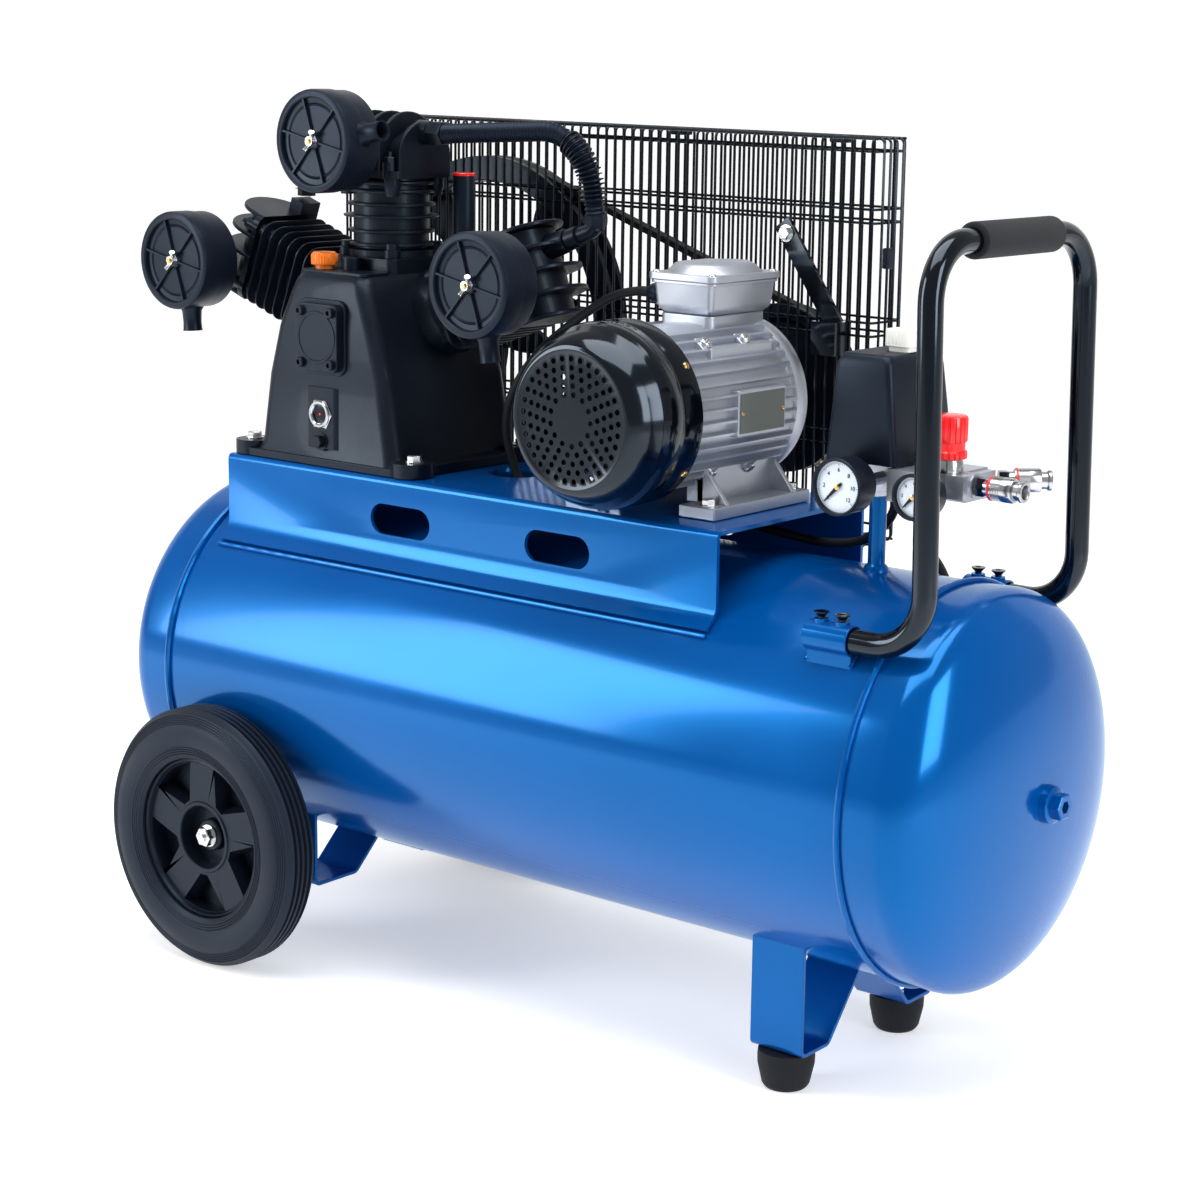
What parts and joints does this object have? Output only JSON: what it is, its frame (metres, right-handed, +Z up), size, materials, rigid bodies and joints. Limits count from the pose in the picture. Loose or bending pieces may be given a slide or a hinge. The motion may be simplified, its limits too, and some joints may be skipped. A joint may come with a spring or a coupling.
{
  "type": "air compressor",
  "caption": "Belt-driven piston air compressor: pump with finned cylinders, motor and wire belt guard on a blue tank with wheels, rubber feet and a push handle.",
  "frame": {"origin": "centre of the object's bounding box, without its mains lead, at floor level", "axes": "+X towards the push handle along the tank, -Y towards the gauges and filters, +Z up"},
  "size_m": [1.077, 0.6147, 0.888],
  "materials": {
    "blue_paint": "gloss",
    "black_casting": "satin black paint",
    "black_gloss": "gloss",
    "black_plastic": "satin",
    "black_wire": "satin",
    "rubber": "matte",
    "tyre_rubber": "matte",
    "foam": "foam",
    "aluminium": "cast",
    "steel": "turned",
    "chrome": "polished",
    "brass": "satin",
    "orange_plastic": "satin",
    "red_plastic": "gloss",
    "white_plastic": "satin"
  },
  "bodies": {
    "compressor": {"air_tank": "blue_paint", "saddle_plate": "blue_paint", "foot_bracket": "blue_paint", "wheel_bracket": "blue_paint", "rubber_foot_front": "rubber", "rubber_foot_rear": "rubber", "push_handle": "black_gloss", "handle_grip": "foam", "crankcase": "black_casting", "bearing_cover": "black_casting", "sight_glass": "chrome", "cylinder_top": "black_casting", "cylinder_left": "black_casting", "cylinder_right": "black_casting", "cylinder_head_top": "black_casting", "cylinder_head_left": "black_casting", "cylinder_head_right": "black_casting", "air_filter_top": "black_plastic", "air_filter_left": "black_plastic", "air_filter_right": "black_plastic", "breather_tube": "black_plastic", "discharge_tube": "black_casting", "intercooler_tube": "black_casting", "drive_belt": "rubber", "motor_housing": "aluminium", "motor_fan_cover": "black_gloss", "terminal_box": "aluminium", "terminal_box_lid": "aluminium", "belt_guard_front": "black_wire", "belt_guard_rim": "black_wire", "belt_guard_back": "black_wire", "guard_strut": "black_gloss", "manifold": "aluminium", "safety_valve": "brass", "pressure_switch": "black_plastic", "pressure_gauge_tank": "black_plastic", "pressure_gauge_outlet": "black_plastic", "coupler_front": "chrome", "coupler_rear": "chrome", "motor_cable": "rubber", "mains_cord": "rubber", "mains_coil": "rubber", "mains_plug": "rubber"},
    "wheel_front": {"tyre_front": "tyre_rubber", "wheel_hub_front": "black_plastic"},
    "wheel_rear": {"tyre_rear": "tyre_rubber", "wheel_hub_rear": "black_plastic"},
    "crank": {"crankshaft": "steel", "flywheel": "black_casting"},
    "motor_rotor": {"motor_shaft": "steel", "motor_pulley": "black_casting", "motor_fan": "black_plastic"},
    "oil_cap": {"oil_cap": "orange_plastic"},
    "drain_screw": {"drain_valve_screw": "brass"},
    "switch_knob": {"switch_knob": "white_plastic"},
    "regulator_knob": {"regulator_knob": "red_plastic"},
    "needle_tank": {"needle_tank": "black_plastic"},
    "needle_outlet": {"needle_outlet": "black_plastic"},
    "collar_front": {"coupler_collar_front": "chrome"},
    "collar_rear": {"coupler_collar_rear": "chrome"}
  },
  "joints": [
    {"name": "wheel_front_spin", "type": "hinge", "parent": "compressor", "child": "wheel_front", "pos_m": [-0.3322, -0.20885, 0.1343], "axis": [0, 1, 0], "continuous": true},
    {"name": "wheel_rear_spin", "type": "hinge", "parent": "compressor", "child": "wheel_rear", "pos_m": [-0.3322, 0.20885, 0.1343], "axis": [0, 1, 0], "continuous": true},
    {"name": "crank_spin", "type": "hinge", "parent": "compressor", "child": "crank", "pos_m": [-0.27, 0, 0.643], "axis": [0, 1, 0], "continuous": true},
    {"name": "motor_spin", "type": "hinge", "parent": "compressor", "child": "motor_rotor", "pos_m": [0.118, 0, 0.6065], "axis": [0, 1, 0], "continuous": true},
    {"name": "oil_cap_turn", "type": "hinge", "parent": "compressor", "child": "oil_cap", "pos_m": [-0.3, -0.074, 0.7069], "axis": [0, 0, 1], "range_deg": [0, 90]},
    {"name": "drain_turn", "type": "hinge", "parent": "compressor", "child": "drain_screw", "pos_m": [0.24, 0, 0.0953], "axis": [0, 0, -1], "range_deg": [0, 360]},
    {"name": "switch_pull", "type": "slide", "parent": "compressor", "child": "switch_knob", "axis": [0, 0, 1], "range_m": [-0.004, 0]},
    {"name": "regulator_turn", "type": "hinge", "parent": "compressor", "child": "regulator_knob", "pos_m": [0.4175, -0.022, 0.5889], "axis": [0, 0, 1], "range_deg": [-720, 720]},
    {"name": "needle_tank_turn", "type": "hinge", "parent": "compressor", "child": "needle_tank", "pos_m": [0.345, -0.087, 0.562], "axis": [0, 1, 0], "range_deg": [0, 270]},
    {"name": "needle_outlet_turn", "type": "hinge", "parent": "compressor", "child": "needle_outlet", "pos_m": [0.417, -0.077, 0.5605], "axis": [0, 1, 0], "range_deg": [0, 270]},
    {"name": "collar_front_slide", "type": "slide", "parent": "compressor", "child": "collar_front", "axis": [-1, 0, 0], "range_m": [0, 0.0035], "stiffness_N_per_m": 2000},
    {"name": "collar_rear_slide", "type": "slide", "parent": "compressor", "child": "collar_rear", "axis": [-0.766, -0.6428, 0], "range_m": [0, 0.0035], "stiffness_N_per_m": 2000}
  ],
  "couplings": [
    {"joint": "motor_spin", "follows": "crank_spin", "ratio": 2.0833}
  ]
}
